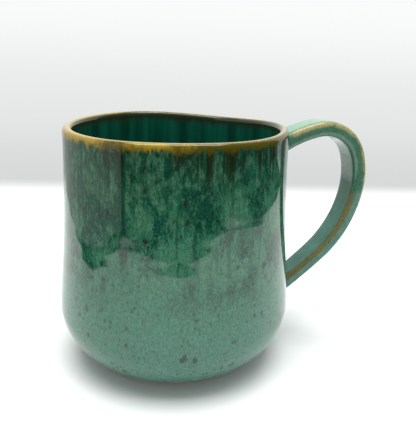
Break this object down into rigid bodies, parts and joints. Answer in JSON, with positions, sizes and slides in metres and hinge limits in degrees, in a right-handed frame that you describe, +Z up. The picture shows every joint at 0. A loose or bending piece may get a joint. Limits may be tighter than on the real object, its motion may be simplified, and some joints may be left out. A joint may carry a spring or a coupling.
{
  "type": "ceramic mug",
  "caption": "Stoneware mug with a rounded belly, a small foot ring, a strap handle and a reactive glaze with an amber rim.",
  "frame": {"origin": "centre of the foot ring, on the surface the mug stands on", "axes": "+Z up along the cup's axis, +X out through the handle"},
  "size_m": [0.131, 0.0954, 0.0979],
  "materials": {
    "stoneware": "bare fired clay, fine sandy grain",
    "slip": "fired slip under glaze",
    "green_glaze": "gloss, reactive green with dark runs and iron specks",
    "liner_glaze": "gloss, deep green",
    "amber_glaze": "gloss, amber breaking brown",
    "mint_glaze": "gloss, mint green with golden edges"
  },
  "bodies": {
    "root": {"cup_body": "stoneware", "handle": "stoneware", "upper_handle_joint": "slip", "lower_handle_joint": "slip", "outer_glaze": "green_glaze", "liner_glaze": "liner_glaze", "rim_glaze": "amber_glaze", "handle_glaze": "mint_glaze"}
  },
  "joints": []
}
